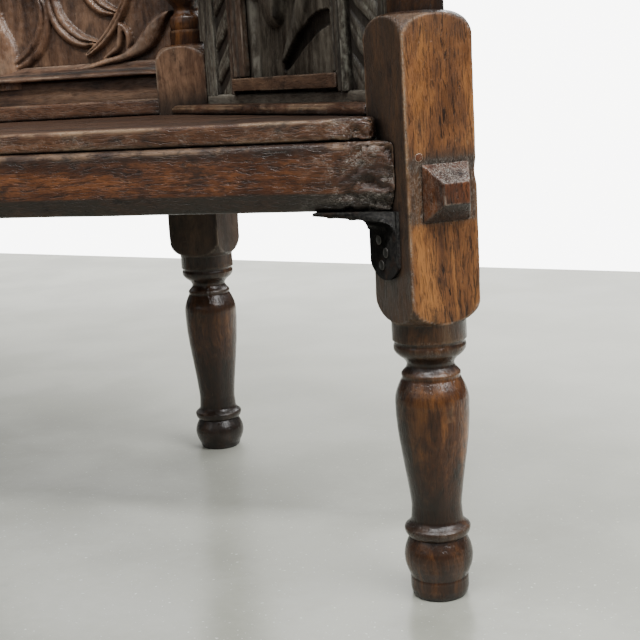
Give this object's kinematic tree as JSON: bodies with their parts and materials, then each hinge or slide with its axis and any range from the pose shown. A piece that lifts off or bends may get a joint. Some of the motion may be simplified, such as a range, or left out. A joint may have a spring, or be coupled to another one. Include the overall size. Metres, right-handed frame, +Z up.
{
  "type": "hall bench",
  "caption": "Half-octagon oak hall bench on turned legs, with a plank seat, canted wings, arms and a carved framed back.",
  "frame": {"origin": "on the floor below the middle of the bench's outline box", "axes": "+X along the front rail, to the right as seen from the front, +Y towards the back, +Z up"},
  "size_m": [1.6302, 0.5382, 1.095],
  "materials": {
    "oak_posts": "old waxed oak, brown with dark pores, worn lighter on the edges",
    "oak_rails": "old waxed oak, reddish brown with black grime",
    "oak_seat": "old oak planks, worn and scuffed",
    "oak_arms": "old waxed oak, rubbed",
    "oak_carved": "dark carved oak with dust in the hollows",
    "oak_pegs": "dark end grain",
    "forged_iron": "black forged iron with a worn edge"
  },
  "bodies": {
    "root": {"front_post_right": "oak_posts", "front_post_left": "oak_posts", "rear_post_right": "oak_posts", "rear_post_left": "oak_posts", "front_seat_rail": "oak_rails", "back_seat_rail": "oak_rails", "side_seat_rail_right": "oak_rails", "side_seat_rail_left": "oak_rails", "seat_bearer_right": "oak_seat", "seat_bearer_centre": "oak_seat", "seat_bearer_left": "oak_seat", "seat_board_front": "oak_seat", "seat_board_middle": "oak_seat", "seat_board_back": "oak_seat", "boss_right": "oak_posts", "boss_left": "oak_posts", "bracket_right": "forged_iron", "bracket_left": "forged_iron", "bracket_nails": "forged_iron", "joint_pegs": "oak_pegs", "wing_lower_rail_right": "oak_carved", "wing_lower_rail_left": "oak_carved", "wing_front_stile_right": "oak_carved", "wing_front_stile_left": "oak_carved", "wing_rear_stile_right": "oak_carved", "wing_rear_stile_left": "oak_carved", "wing_panel_right": "oak_carved", "wing_panel_left": "oak_carved", "wing_front_moulding_right": "oak_carved", "wing_front_moulding_left": "oak_carved", "wing_rear_moulding_right": "oak_carved", "wing_rear_moulding_left": "oak_carved", "wing_top_moulding_right": "oak_carved", "wing_top_moulding_left": "oak_carved", "wing_sill_right": "oak_carved", "wing_sill_left": "oak_carved", "wing_top_rail_right": "oak_carved", "wing_top_rail_left": "oak_carved", "wing_batten_right": "oak_seat", "wing_batten_left": "oak_seat", "arm_right": "oak_arms", "arm_left": "oak_arms", "back_lower_rail": "oak_carved", "back_lower_moulding": "oak_carved", "back_panel": "oak_carved", "back_upper_moulding": "oak_carved", "back_top_rail": "oak_carved", "back_cap": "oak_carved", "back_batten": "oak_seat"}
  },
  "joints": []
}
